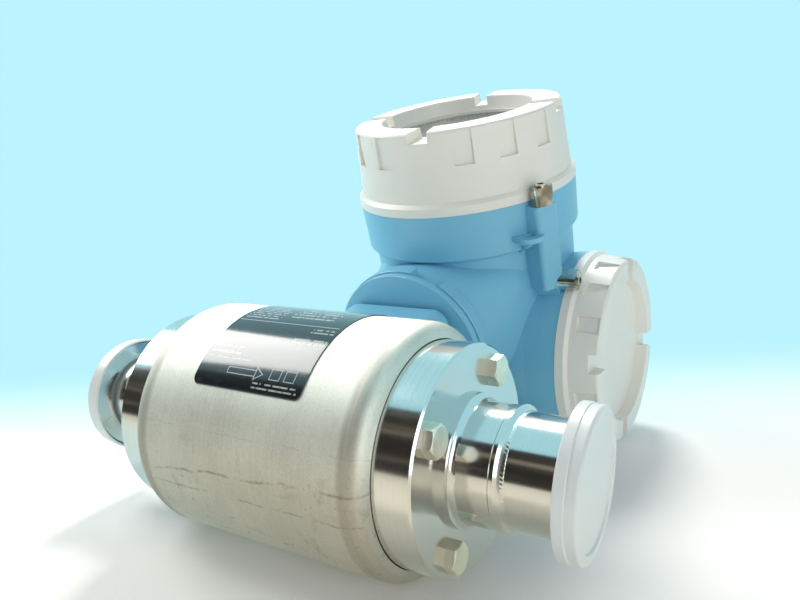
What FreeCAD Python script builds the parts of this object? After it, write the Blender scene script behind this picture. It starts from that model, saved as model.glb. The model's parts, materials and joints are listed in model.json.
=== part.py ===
"""Electromagnetic flow meter for a hygienic DN 50 pipe, lying on its side.

Every sub-part is modelled in the meter's own upright frame: the pipe runs
along X, the neck rises along +Z and the display looks toward -Y.  The last
step lays the finished meter down on its drum and its rear compartment.
Lengths are in millimetres.
"""
import FreeCAD
import Part
import math
import os

Vec = FreeCAD.Vector
X_AXIS = Vec(1, 0, 0)
Y_AXIS = Vec(0, 1, 0)
Z_AXIS = Vec(0, 0, 1)

# ---------------------------------------------------------------- clearances
MOVING_GAP = 0.3          # between curved faces of pieces that move
RUNNING_GAP = 0.08        # radial, spigot of the swivel in its socket
SEAT_GAP = 0.2            # between flat faces of pieces that move

# -------------------------------------------------------------- flow passage
BORE_R = 23.75            # clear bore of the lined tube and the pipe stubs
LINER_WALL = 3.0
TUBE_WALL = 2.6
TUBE_HALF = 68.0          # the lined tube reaches both process connections
TUBE_R = BORE_R + LINER_WALL + TUBE_WALL

# --------------------------------------------------------------------- drum
DRUM_R = 60.0
DRUM_WALL = 2.0
ROLL_R = 8.0              # rolled end of the drum
OPENING_X = TUBE_HALF + 1.5    # plane of the rolled opening
CONNECTION_R = DRUM_R - 7.8    # process connection disc
OPENING_R = CONNECTION_R + 0.4
END_RING_X = TUBE_HALF - 18    # inner face of the welded end ring

# -------------------------------------------------------- process connection
CONNECTION_T = 20.0
FLANGE_X = TUBE_HALF + CONNECTION_T
HUB_R = 30.5
HUB_LEN = 3.0
NIPPLE_R = 27.3
RIDGE_X = FLANGE_X + 20.6  # start of the collar beside the weld
RIDGE_LEN = 3.8
RIDGE_R = 28.1
PIPE_R = 25.4
WELD_X = RIDGE_X + RIDGE_LEN + 1.2
FERRULE_END_X = FLANGE_X + 52
FERRULE_R = 31.0
FERRULE_RIM = 2.85
FERRULE_TAPER = math.radians(20)
GASKET_R = 27.6           # centre line of the groove in the ferrule face
GASKET_HALF = 1.6
SEAL_R = 31.6             # face seal between end ring and disc
SEAL_WIRE = 1.75

# -------------------------------------------------------------------- bolts
BOLT_CIRCLE_R = CONNECTION_R - 10.2
BOLT_COUNT = 4
BOLT_R = 4.0              # M8
BOLT_LEN = 34.0
BOLT_AF = 13.0
BOLT_HEAD = 5.3

# ---------------------------------------------------------------- pipe caps
CAP_PLAY = 0.7            # the cap sits loosely on the ferrule
CAP_WALL = 0.9
CAP_R = FERRULE_R + CAP_PLAY + CAP_WALL
CAP_LIP = 0.5             # the lip stands this proud of the wall
CAP_LIP_LEN = 4.6
CAP_OPEN_X = FERRULE_END_X - 5.0
CAP_END_X = FERRULE_END_X + 5.0
CAP_RIM_W = 4.6
CAP_PANEL_DEPTH = 1.0
CAP_PANEL_T = 1.2
OUTLET_CAP_TURN = 4.8     # degrees the outlet cap is pushed on askew
OUTLET_CAP_AXIS = 141.0   # way of that turn's axis, from +Y toward +Z

# ------------------------------------------------- coils, yoke, electrodes
POLE_R = 13.0
COIL_OUT_R = 23.0
COIL_HALF_H = 7.5
COIL_MID_Z = 37.8
YOKE_R = DRUM_R - 5.5
YOKE_WALL = 3.0
YOKE_HALF_LEN = 16.0
ELECTRODE_R = 2.5
ELECTRODE_HEAD_R = 5.0
ELECTRODE_NUT_AF = 8.0

# ---------------------------------------------------------------- nameplate
PLATE_HALF_LEN = 32.6
PLATE_HALF_ANGLE = 42.0
PLATE_T = 0.5
PLATE_BOND = 0.1          # adhesive film under the plate
PLATE_CORNER = 3.0

# -------------------------------------------------------------- sensor neck
BLOCK_HALF_X = 34.2
BLOCK_HALF_Y = 30.2
BLOCK_TOP_Z = DRUM_R + 26.3
BLOCK_CORNER = 9.0
BLOCK_EDGE = 2.6
COLLAR_HALF_X = 29.0
COLLAR_HALF_Y = 24.0
DISC_Z = BLOCK_TOP_Z + 3       # underside of the round plate
DISC_T = 4.8
DISC_R = 47.2
NECK_BORE_R = 14.0
SOCKET_R = 19.0
SOCKET_DEPTH = 7.0

# ------------------------------------------------------------ swivel ring
RING_Z = DISC_Z + DISC_T + SEAT_GAP
RING_T = 9.2
RING_R = DISC_R + 1.0
NOTCH_COUNT = 4
NOTCH_AT = -69.0          # degrees from +X toward +Y
NOTCH_HALF_ANGLE = 11.5
NOTCH_DEPTH = 4.4

# -------------------------------------------------- transmitter compartments
FRONT_Z = RING_Z + 95.7        # height of the display axis
FRONT_JOINT_Y = -71.7
FRONT_RIM_R = 70.9
FRONT_STEP_Y = -42.5
FRONT_STEP_R = 70.2
FRONT_NARROW_R = 66.2
FRONT_BACK_Y = 24.0
FRONT_BORE_R = FRONT_RIM_R - 4.3
FRONT_CAVITY_R = FRONT_RIM_R - 9.1
FRONT_FLOOR_Y = -17.5
THREAD_DEPTH = 10.0

SIDE_Y = 41.6             # axis of the terminal compartment
SIDE_Z = FRONT_Z + 1
SIDE_JOINT_X = 74.4
SIDE_RIM_R = 63.2
SIDE_BODY_R = SIDE_RIM_R - 2.0
SIDE_END_X = -58.0
SIDE_END_RIM = 6.0
SIDE_BORE_R = SIDE_RIM_R - 4.6
SIDE_CAVITY_R = SIDE_RIM_R - 8.2
SIDE_LEDGE_R = SIDE_RIM_R - 13.2
SIDE_LEDGE_X = 18.0
SIDE_FLOOR_X = -50.0

COLUMN_R = 43.5
COLUMN_FOOT_H = 5.0
COLUMN_TOP_Z = FRONT_Z - 30
COLUMN_TOP_HALF_X = FRONT_NARROW_R - 7.5
COLUMN_TOP_CORNER = 20.0

# ------------------------------------------------------------ screw covers
COVER_FLANGE_LEN = 6.8
COVER_EDGE = 1.4
FRONT_COVER_FLANGE_R = FRONT_RIM_R + 0.4
FRONT_COVER_ROOT_R = FRONT_COVER_FLANGE_R - 2.6
FRONT_COVER_TOP_R = FRONT_COVER_ROOT_R - 2.4
FRONT_COVER_LEN = 49.2
FRONT_RECESS_R = FRONT_COVER_TOP_R - 17.8
FRONT_RECESS_LEN = 9.0
WINDOW_OPENING_R = FRONT_RECESS_R - 3.5
WINDOW_R = WINDOW_OPENING_R + 7
WINDOW_T = 9.0
RETAINER_T = 4.0
SIDE_COVER_FLANGE_R = SIDE_RIM_R + 0.4
SIDE_COVER_ROOT_R = SIDE_COVER_FLANGE_R - 2.2
SIDE_COVER_TOP_R = SIDE_COVER_ROOT_R - 2.0
SIDE_COVER_LEN = 25.8
SIDE_RECESS_R = SIDE_COVER_TOP_R - 13.4
SIDE_RECESS_LEN = 6.8
SKIRT_LEN = 8.5
COVER_WALL = 5.0
SLOT_COUNT = 4
SLOT_HALF_ANGLE = 5.5
SLOT_DEPTH = 6.2
FRONT_SLOT_AT = -83.0
SIDE_SLOT_AT = -108.0
POCKET_COUNT = 3          # between two slots
POCKET_PITCH = 22.5
POCKET_HALF_ANGLE = 4.9
POCKET_DEPTH = 1.0
FRONT_POCKET_LEN = 19.5
SIDE_POCKET_LEN = 13.4
POCKET_TOP = 1.6
SEAL_WIRE_R = 1.05        # section radius of the cover seals
GROOVE_AT = 3.2           # groove centre, from the joint plane into the bore
GROOVE_HALF = 1.35
GROOVE_DEPTH = 2.45

# --------------------------------------------------------- securing clamps
CLAMP_LEN = 11.2
CLAMP_SEAT = 2.6          # the clamp starts this far behind the joint
CLAMP_W = 13.0
CLAMP_H = 10.0
CLAMP_EDGE = 4.0
CLAMP_SCREW_R = 3.6
CLAMP_SCREW_HEAD = 4.0
CLAMP_SOCKET_AF = 3.6
FRONT_CLAMP_AT = -28.0
SIDE_CLAMP_AT = 207.0
BOSS_W = 15.5
BOSS_LEN = 52.0

# -------------------------------------------------------------------- lug
LUG_AT = -36.0
LUG_Y = -53.0
LUG_T = 3.0
LUG_R = 8.5
LUG_HOLE_R = 3.2
LUG_REACH = 5.0           # hole centre beyond the barrel
LUG_RIB = 11.0

# ---------------------------------------------------- cable entries, earth
ENTRY_XS = (-36.0, 0.0, 36.0)
ENTRY_Y = SIDE_Y + 26.4
ENTRY_FACE_Z = FRONT_Z - 65.8
ENTRY_BOSS_R = 15.0
ENTRY_HOLE_R = 10.0
ENTRY_THREAD_LEN = 14.0
ENTRY_DEPTH = 45.0        # each entry reaches the terminal compartment
PLUG_HEAD_AF = 24.0
PLUG_HEAD_T = 5.0
GLAND_BODY_AF = 24.0
GLAND_BODY_T = 6.0
GLAND_NUT_R = 11.0
GLAND_NUT_T = 11.0
GLAND_CABLE_R = 5.0
EARTH_R = 3.0
EARTH_HEAD_AF = 8.0

# ------------------------------------------------------ inner electronics
DISPLAY_R = FRONT_CAVITY_R - 7.8
DISPLAY_T = 12.0
DISPLAY_FRONT_Y = FRONT_JOINT_Y - 23.7
SCREEN_W = 62.0
SCREEN_H = 38.0
SCREEN_T = 1.2
MODULE_R = FRONT_CAVITY_R - 5.8
BOARD_R = SIDE_CAVITY_R - 0.3
BOARD_T = 4.0
BLOCK_W = 70.0
BLOCK_D = 30.0
BLOCK_T = 17.0
TERMINAL_COUNT = 8
TERMINAL_R = 2.6


# ================================================================== helpers
def face_of(edges):
    return Part.Face(Part.Wire(edges))


def turned(outline, start=Vec(0, 0, 0), direction=X_AXIS):
    """Turned solid.  outline lists (along, radius) corners; a corner that
    carries a third value is the middle of an arc to the next corner."""
    points = [Vec(p[0], 0, p[1]) for p in outline]
    arcs = [len(p) == 3 for p in outline]
    edges = []
    i = 0
    n = len(points)
    while i < n:
        a = points[i]
        b = points[(i + 1) % n]
        if arcs[(i + 1) % n]:
            c = points[(i + 2) % n]
            edges.append(Part.Arc(a, b, c).toShape())
            i += 2
        else:
            edges.append(Part.LineSegment(a, b).toShape())
            i += 1
    solid = face_of(edges).revolve(Vec(0, 0, 0), X_AXIS, 360)
    solid.Placement = FreeCAD.Placement(start, FreeCAD.Rotation(X_AXIS, direction))
    return solid


def rod(radius, start, length, direction=X_AXIS):
    return Part.makeCylinder(radius, length, start, direction)


def tube(outer, inner, start, length, direction=X_AXIS):
    return rod(outer, start, length, direction).cut(rod(inner, start, length, direction))


def slab(half_x, half_y, z0, z1, corner):
    """Upright block with rounded vertical edges, centred on the neck axis."""
    box = Part.makeBox(2 * half_x, 2 * half_y, z1 - z0, Vec(-half_x, -half_y, z0))
    upright = [e for e in box.Edges if abs(e.tangentAt(e.FirstParameter).z) > 0.9]
    return box.makeFillet(corner, upright)


def hexagon(across_flats, start, length, direction, turn=0.0):
    """Hexagonal prism along direction, one corner at angle turn."""
    r = across_flats / math.sqrt(3)
    corners = []
    for k in range(7):
        a = math.radians(60 * k + turn)
        corners.append(Vec(0, r * math.cos(a), r * math.sin(a)))
    prism = Part.Face(Part.makePolygon(corners)).extrude(Vec(length, 0, 0))
    prism.Placement = FreeCAD.Placement(start, FreeCAD.Rotation(X_AXIS, direction))
    return prism


def bolt_head(across_flats, start, length, direction, turn=0.0):
    """Hexagon head whose outer corners are turned off at 30 degrees."""
    corner_r = across_flats / math.sqrt(3)
    cone_drop = (corner_r - across_flats / 2) * math.tan(math.radians(30))
    flat_r = across_flats * 0.48
    outline = [(0, 0), (length, 0), (length, flat_r)]
    outline += [(length - cone_drop * 1.6, corner_r + 0.2), (0, corner_r + 0.2)]
    envelope = turned(outline, start, direction)
    return hexagon(across_flats, start, length, direction, turn).common(envelope)


def rounded(solid, radius, chosen):
    """Fillet the edges that the test picks."""
    return solid.makeFillet(radius, [e for e in solid.Edges if chosen(e)])


def circle_at(edge, radius, where, axis):
    """True for a full circle of this radius whose centre lies at where."""
    curve = edge.Curve
    if not isinstance(curve, Part.Circle):
        return False
    return abs(curve.Radius - radius) < 0.05 and abs(curve.Center.dot(axis) - where) < 0.05


def mirrored(solid):
    """Same piece for the other end of the pipe."""
    return solid.mirror(Vec(0, 0, 0), X_AXIS)


def group(solids):
    return Part.makeCompound(solids)


def ring_angles():
    return [45 + 360.0 / BOLT_COUNT * k for k in range(BOLT_COUNT)]


def on_circle(x, radius, degrees):
    a = math.radians(degrees)
    return Vec(x, radius * math.cos(a), radius * math.sin(a))


# =================================================================== sensor
def drum_shell():
    """Thin drum whose two ends roll inward to a round opening."""
    cyl = OPENING_X - ROLL_R
    inner_r = DRUM_R - DRUM_WALL
    centre_r = DRUM_R - ROLL_R
    reach = math.sqrt(ROLL_R ** 2 - (OPENING_R - centre_r) ** 2)
    half = 0.5 * (math.atan2(OPENING_R - centre_r, reach) + math.pi / 2)
    mid_x = cyl + ROLL_R * math.cos(half)
    mid_r = centre_r + ROLL_R * math.sin(half)
    shell = turned([
        (-cyl - reach, OPENING_R), (-mid_x, mid_r, 1), (-cyl, DRUM_R),
        (cyl, DRUM_R), (mid_x, mid_r, 1), (cyl + reach, OPENING_R),
        (cyl, OPENING_R), (cyl, inner_r), (-cyl, inner_r), (-cyl, OPENING_R),
    ])
    return shell.cut(rod(NECK_BORE_R, Vec(0, 0, 0), DRUM_R + 1, Z_AXIS))


def measuring_tube():
    inner = BORE_R + LINER_WALL
    body = tube(TUBE_R, inner, Vec(-TUBE_HALF, 0, 0), 2 * TUBE_HALF)
    for side in (-1, 1):
        body = body.cut(rod(ELECTRODE_R, Vec(0, 0, 0), TUBE_R + 1, Y_AXIS * side))
    return body


def tube_liner():
    body = tube(BORE_R + LINER_WALL, BORE_R, Vec(-TUBE_HALF, 0, 0), 2 * TUBE_HALF)
    for side in (-1, 1):
        body = body.cut(rod(ELECTRODE_R, Vec(0, 0, 0), TUBE_R, Y_AXIS * side))
        body = body.cut(rod(ELECTRODE_HEAD_R, Vec(0, 0, 0), BORE_R + 1.2, Y_AXIS * side))
    return body


def end_ring():
    """Welded ring inside the drum that the process connection bolts to."""
    outline = [
        (END_RING_X, TUBE_R), (TUBE_HALF, TUBE_R), (TUBE_HALF, OPENING_R - 0.6),
        (OPENING_X - ROLL_R, OPENING_R - 0.6), (OPENING_X - ROLL_R, DRUM_R - DRUM_WALL),
        (END_RING_X, DRUM_R - DRUM_WALL),
    ]
    ring = turned(outline)
    groove = tube(SEAL_R + SEAL_WIRE, SEAL_R - SEAL_WIRE, Vec(TUBE_HALF - SEAL_WIRE, 0, 0), SEAL_WIRE)
    ring = ring.cut(groove)
    for degrees in ring_angles():
        hole = on_circle(FLANGE_X - BOLT_LEN, BOLT_CIRCLE_R, degrees)
        ring = ring.cut(rod(BOLT_R, hole, TUBE_HALF - hole.x + 1))
    return ring


def face_seal():
    return tube(SEAL_R + SEAL_WIRE, SEAL_R - SEAL_WIRE, Vec(TUBE_HALF - SEAL_WIRE, 0, 0), SEAL_WIRE)


def process_connection():
    """Disc, hub, nipple and collar turned from one bar."""
    fillet = HUB_R - NIPPLE_R
    hub_end = FLANGE_X + HUB_LEN
    mid = fillet * (1 - math.cos(math.radians(45)))
    outline = [
        (TUBE_HALF, BORE_R), (WELD_X, BORE_R), (WELD_X, PIPE_R),
        (RIDGE_X + RIDGE_LEN, RIDGE_R - 1.2),
        (RIDGE_X + RIDGE_LEN - 1.2, RIDGE_R), (RIDGE_X + 0.8, RIDGE_R), (RIDGE_X, NIPPLE_R),
        (hub_end + fillet, NIPPLE_R), (hub_end + mid, NIPPLE_R + mid, 1), (hub_end, HUB_R),
        (FLANGE_X, HUB_R), (FLANGE_X, CONNECTION_R - 0.9), (FLANGE_X - 0.9, CONNECTION_R),
        (TUBE_HALF, CONNECTION_R),
    ]
    body = turned(outline)
    for degrees in ring_angles():
        hole = on_circle(TUBE_HALF, BOLT_CIRCLE_R, degrees)
        body = body.cut(rod(BOLT_R + 0.4, hole, FLANGE_X - TUBE_HALF + 1))
    return body


def clamp_ferrule():
    """Pipe end with a tapered clamp rim and a gasket groove in its face."""
    rim_back = FERRULE_END_X - FERRULE_RIM
    taper_len = (FERRULE_R - PIPE_R) * math.tan(FERRULE_TAPER)
    outline = [
        (WELD_X, BORE_R), (FERRULE_END_X, BORE_R), (FERRULE_END_X, GASKET_R - GASKET_HALF),
        (FERRULE_END_X - 1.4, GASKET_R, 1), (FERRULE_END_X, GASKET_R + GASKET_HALF),
        (FERRULE_END_X, FERRULE_R), (rim_back, FERRULE_R),
        (rim_back - taper_len, PIPE_R), (WELD_X, PIPE_R),
    ]
    return turned(outline)


def connection_bolts():
    """Four hexagon bolts that draw the disc onto the end ring."""
    solids = []
    for degrees in ring_angles():
        seat = on_circle(FLANGE_X, BOLT_CIRCLE_R, degrees)
        shank = rod(BOLT_R, seat - Vec(BOLT_LEN, 0, 0), BOLT_LEN)
        head = bolt_head(BOLT_AF, seat, BOLT_HEAD, X_AXIS, 24)
        solids.append(shank.fuse(head))
    return group(solids)


def pipe_cap():
    """Push-on plastic cap with a flared lip and a sunk end panel."""
    bore = FERRULE_R + CAP_PLAY
    panel = CAP_END_X - CAP_PANEL_DEPTH
    lip_end = CAP_OPEN_X + CAP_LIP_LEN
    lip_r = CAP_R + CAP_LIP
    outline = [
        (panel - CAP_PANEL_T, 0), (panel, 0), (panel, CAP_R - CAP_RIM_W - 0.6),
        (CAP_END_X, CAP_R - CAP_RIM_W), (CAP_END_X, CAP_R - 1.4),
        (CAP_END_X - 0.41, CAP_R - 0.41, 1), (CAP_END_X - 1.4, CAP_R),
        (lip_end + CAP_LIP, CAP_R), (lip_end, lip_r), (CAP_OPEN_X + 0.6, lip_r),
        (CAP_OPEN_X, lip_r - 0.6), (CAP_OPEN_X, bore + 0.4), (CAP_OPEN_X + 1.0, bore),
        (panel - CAP_PANEL_T, bore),
    ]
    return turned(outline)


def outlet_cap():
    """The cap at the outlet is pushed on askew."""
    cap = pipe_cap()
    cap.rotate(Vec(FERRULE_END_X, 0, 0), on_circle(0, 1, OUTLET_CAP_AXIS), OUTLET_CAP_TURN)
    return cap


def magnet_coil(side):
    base = Vec(0, 0, side * (COIL_MID_Z - COIL_HALF_H))
    coil = tube(COIL_OUT_R, POLE_R, base, 2 * COIL_HALF_H, Z_AXIS * side)
    edge = [e for e in coil.Edges if isinstance(e.Curve, Part.Circle) and e.Curve.Radius > POLE_R + 1]
    return coil.makeFillet(2.5, edge)


def pole_cores():
    solids = []
    for side in (-1, 1):
        core = rod(POLE_R, Vec(0, 0, 0), YOKE_R, Z_AXIS * side)
        core = core.common(rod(YOKE_R - YOKE_WALL, Vec(-POLE_R - 1, 0, 0), 2 * POLE_R + 2))
        if side > 0:
            core = core.cut(rod(4.0, Vec(0, 0, 0), YOKE_R, Z_AXIS))
        solids.append(core.cut(rod(TUBE_R, Vec(-POLE_R - 1, 0, 0), 2 * POLE_R + 2)))
    return group(solids)


def return_yoke():
    yoke = tube(YOKE_R, YOKE_R - YOKE_WALL, Vec(-YOKE_HALF_LEN, 0, 0), 2 * YOKE_HALF_LEN)
    return yoke.cut(rod(4.0, Vec(0, 0, 0), YOKE_R + 1, Z_AXIS))


def electrodes():
    """Two measuring electrodes, dome inside the bore and nut outside."""
    solids = []
    for side in (-1, 1):
        out = Y_AXIS * side
        dome = rod(ELECTRODE_HEAD_R, out * (BORE_R - 0.6), 1.8, out)
        pin = rod(ELECTRODE_R, out * BORE_R, TUBE_R + 9 - BORE_R, out)
        nut = hexagon(ELECTRODE_NUT_AF, out * (TUBE_R + 0.6), 4.0, out)
        spread = rod(ELECTRODE_NUT_AF / 2 + 1, Vec(0, 0, 0), TUBE_R + 0.6, out)
        pad = spread.cut(rod(TUBE_R, Vec(-10, 0, 0), 20))
        solids.append(dome.fuse([pin, nut, pad]))
    return group(solids)


def nameplate():
    """Thin plate bent round the drum, corners rounded."""
    inner = DRUM_R + PLATE_BOND
    band = tube(DRUM_R + PLATE_T, inner, Vec(-PLATE_HALF_LEN, 0, 0), 2 * PLATE_HALF_LEN)
    half_w = DRUM_R * math.sin(math.radians(PLATE_HALF_ANGLE))
    window = Part.makeBox(
        2 * PLATE_HALF_LEN, DRUM_R + 5, 2 * half_w, Vec(-PLATE_HALF_LEN, -DRUM_R - 5, -half_w))
    corners = [e for e in window.Edges if abs(e.tangentAt(e.FirstParameter).y) > 0.9]
    return band.common(window.makeFillet(PLATE_CORNER, corners))


def sensor_neck():
    """Painted saddle block with the round plate that carries the swivel."""
    block = slab(BLOCK_HALF_X, BLOCK_HALF_Y, DRUM_R / 2, BLOCK_TOP_Z, BLOCK_CORNER)
    block = rounded(block, BLOCK_EDGE, lambda e: min(v.Z for v in e.Vertexes) > BLOCK_TOP_Z - 0.1)
    collar = slab(COLLAR_HALF_X, COLLAR_HALF_Y, BLOCK_TOP_Z - 8, DISC_Z + 1, 6)
    disc = rod(DISC_R, Vec(0, 0, DISC_Z), DISC_T, Z_AXIS)
    disc = rounded(disc, 0.8, lambda e: isinstance(e.Curve, Part.Circle))
    body = block.fuse([collar, disc])
    body = body.cut(rod(DRUM_R, Vec(-BLOCK_HALF_X - 1, 0, 0), 2 * BLOCK_HALF_X + 2))
    body = body.cut(rod(NECK_BORE_R, Vec(0, 0, 0), RING_Z, Z_AXIS))
    socket_z = RING_Z - SEAT_GAP - SOCKET_DEPTH
    return body.cut(rod(SOCKET_R, Vec(0, 0, socket_z), SOCKET_DEPTH + 1, Z_AXIS))


def earth_screw():
    """Earthing screw on the neck block, on the side away from the display."""
    start = Vec(0, BLOCK_HALF_Y, BLOCK_TOP_Z - 12)
    head = bolt_head(EARTH_HEAD_AF, start + Vec(0, 1.2, 0), 4.0, Y_AXIS)
    washer = rod(6.0, start, 1.2, Y_AXIS)
    shank = rod(EARTH_R, start - Vec(0, 6, 0), 7.0, Y_AXIS)
    return head.fuse([washer, shank])


def earth_hole():
    return rod(EARTH_R, Vec(0, BLOCK_HALF_Y - 6, BLOCK_TOP_Z - 12), 7.0, Y_AXIS)


# ============================================================== transmitter
def swivel_ring():
    """Bayonet ring with notched rim and the spigot that turns in the neck."""
    ring = rod(RING_R, Vec(0, 0, RING_Z), RING_T, Z_AXIS)
    ring = rounded(ring, 0.8, lambda e: isinstance(e.Curve, Part.Circle))
    for k in range(NOTCH_COUNT):
        ring = ring.cut(sector(
            RING_R - NOTCH_DEPTH, RING_R + 2, NOTCH_AT + 360.0 / NOTCH_COUNT * k, NOTCH_HALF_ANGLE,
            Vec(0, 0, RING_Z - 1), RING_T + 2, Z_AXIS))
    spigot_len = SOCKET_DEPTH - 1
    spigot = rod(SOCKET_R - RUNNING_GAP, Vec(0, 0, RING_Z - spigot_len), spigot_len, Z_AXIS)
    bore = rod(NECK_BORE_R, Vec(0, 0, RING_Z - spigot_len), spigot_len + RING_T, Z_AXIS)
    return ring.fuse(spigot).cut(bore)


def sector(inner, outer, at, half_angle, start, length, direction):
    """Ring sector centred on angle at.  Angles are measured in the plane
    across direction, from +X toward +Y for Z, +X toward +Z for -Y and
    +Y toward +Z for X."""
    frames = {
        'z': (X_AXIS, Y_AXIS), 'y': (X_AXIS, Z_AXIS), 'x': (Y_AXIS, Z_AXIS),
    }
    key = 'z' if abs(direction.z) > 0.9 else ('y' if abs(direction.y) > 0.9 else 'x')
    u, v = frames[key]

    def point(radius, degrees):
        a = math.radians(degrees)
        return start + u * (radius * math.cos(a)) + v * (radius * math.sin(a))

    lo = at - half_angle
    hi = at + half_angle
    edges = [
        Part.LineSegment(point(inner, lo), point(outer, lo)).toShape(),
        Part.Arc(point(outer, lo), point(outer, at), point(outer, hi)).toShape(),
        Part.LineSegment(point(outer, hi), point(inner, hi)).toShape(),
        Part.Arc(point(inner, hi), point(inner, at), point(inner, lo)).toShape(),
    ]
    return face_of(edges).extrude(direction * length)


def front_axis_point(y):
    return Vec(0, y, FRONT_Z)


def side_axis_point(x):
    return Vec(x, SIDE_Y, SIDE_Z)


def boss_bar(centre, out, along, length, width, height):
    """Bar with rounded outer edges: out is the radial way, along its run."""
    across = out.cross(along)
    corner = centre - across * (width / 2) - out * (height / 2)
    points = [corner, corner + across * width, corner + across * width + out * height]
    points += [corner + out * height, corner]
    bar = Part.Face(Part.makePolygon(points)).extrude(along * length)
    rim = [e for e in bar.Edges if abs(e.tangentAt(e.FirstParameter).dot(along)) > 0.9]
    rim = [e for e in rim if (e.CenterOfMass - centre).dot(out) > 0]
    return bar.makeFillet(3.0, rim)


def front_radial(degrees):
    a = math.radians(degrees)
    return Vec(math.cos(a), 0, math.sin(a))


def side_radial(degrees):
    a = math.radians(degrees)
    return Vec(0, math.cos(a), math.sin(a))


def front_barrel():
    outline = [
        (0, 0), (0, FRONT_RIM_R), (FRONT_STEP_Y - FRONT_JOINT_Y - 2, FRONT_STEP_R),
        (FRONT_STEP_Y - FRONT_JOINT_Y - 0.6, FRONT_STEP_R - 0.6, 1),
        (FRONT_STEP_Y - FRONT_JOINT_Y, FRONT_STEP_R - 2),
        (FRONT_STEP_Y - FRONT_JOINT_Y, FRONT_NARROW_R + 1.5),
        (FRONT_STEP_Y - FRONT_JOINT_Y + 0.44, FRONT_NARROW_R + 0.44, 1),
        (FRONT_STEP_Y - FRONT_JOINT_Y + 1.5, FRONT_NARROW_R),
        (FRONT_BACK_Y - FRONT_JOINT_Y, FRONT_NARROW_R - 1.5), (FRONT_BACK_Y - FRONT_JOINT_Y, 0),
    ]
    return turned(outline, front_axis_point(FRONT_JOINT_Y), Y_AXIS)


def side_barrel():
    length = SIDE_JOINT_X - SIDE_END_X
    rim_back = length - SIDE_END_RIM
    outline = [
        (0, 0), (0, SIDE_RIM_R), (10, SIDE_RIM_R - 0.4), (20, SIDE_BODY_R + 0.6),
        (rim_back - 4, SIDE_BODY_R), (rim_back, SIDE_COVER_FLANGE_R),
        (length - 1.5, SIDE_COVER_FLANGE_R), (length - 0.44, SIDE_COVER_FLANGE_R - 0.44, 1),
        (length, SIDE_COVER_FLANGE_R - 1.5), (length, 0),
    ]
    return turned(outline, side_axis_point(SIDE_JOINT_X), X_AXIS * -1)


def base_column():
    """Round foot on the swivel ring that widens into both compartments."""
    foot_z = RING_Z + RING_T
    foot = rod(COLUMN_R, Vec(0, 0, foot_z), COLUMN_FOOT_H + 1, Z_AXIS)
    low = Part.Wire(Part.makeCircle(COLUMN_R - 1.5, Vec(0, 0, foot_z + COLUMN_FOOT_H)))
    front_y = FRONT_STEP_Y + 1.5
    flare = slab(
        COLUMN_TOP_HALF_X, (SIDE_Y - front_y) / 2, COLUMN_TOP_Z, COLUMN_TOP_Z + 1, COLUMN_TOP_CORNER)
    flare.translate(Vec(0, (SIDE_Y + front_y) / 2, 0))
    high = [f for f in flare.Faces if abs(f.CenterOfMass.z - COLUMN_TOP_Z) < 0.01][0].OuterWire
    return foot.fuse(Part.makeLoft([low, high], True))


def tag_lug():
    """Flat ear with a hole for a tag wire, on a tapering rib."""
    out = front_radial(LUG_AT)
    hole = front_axis_point(LUG_Y) + out * (FRONT_RIM_R + LUG_REACH)
    ear = rod(LUG_R, hole, LUG_T, Y_AXIS)
    across = out.cross(Y_AXIS)
    root = hole - out * 12
    pad = Part.makePolygon([
        root - across * LUG_R, hole - across * LUG_R, hole + across * LUG_R,
        root + across * LUG_R, root - across * LUG_R])
    ear = ear.fuse(Part.Face(pad).extrude(Y_AXIS * LUG_T))
    tip = hole + out * (LUG_R - 2)
    side = Part.makePolygon([
        tip + Y_AXIS * (LUG_T - 0.2), root + Y_AXIS * (LUG_T - 0.2),
        root + Y_AXIS * (LUG_T + LUG_RIB), tip + Y_AXIS * (LUG_T - 0.2)])
    rib = Part.Face(side).extrude(across * 6)
    rib.translate(across * -3)
    return ear.fuse(rib).cut(rod(LUG_HOLE_R, hole - Y_AXIS, LUG_T + LUG_RIB + 2, Y_AXIS))


def clamp_bosses():
    """Bars under the two securing clamps."""
    front_out = front_radial(FRONT_CLAMP_AT)
    front_mid = FRONT_COVER_FLANGE_R
    front = boss_bar(
        front_axis_point(FRONT_JOINT_Y + CLAMP_SEAT) + front_out * front_mid, front_out, Y_AXIS,
        BOSS_LEN, BOSS_W, CLAMP_H + 9)
    side_out = side_radial(SIDE_CLAMP_AT)
    side_mid = SIDE_COVER_FLANGE_R
    side = boss_bar(
        side_axis_point(SIDE_JOINT_X - CLAMP_SEAT) + side_out * side_mid, side_out, X_AXIS * -1,
        BOSS_LEN / 2, BOSS_W, CLAMP_H + 9)
    return [front, side]


def entry_bosses():
    solids = []
    for x in ENTRY_XS:
        solids.append(rod(ENTRY_BOSS_R, Vec(x, ENTRY_Y, ENTRY_FACE_Z), ENTRY_DEPTH * 2 / 3, Z_AXIS))
    return solids


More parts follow.
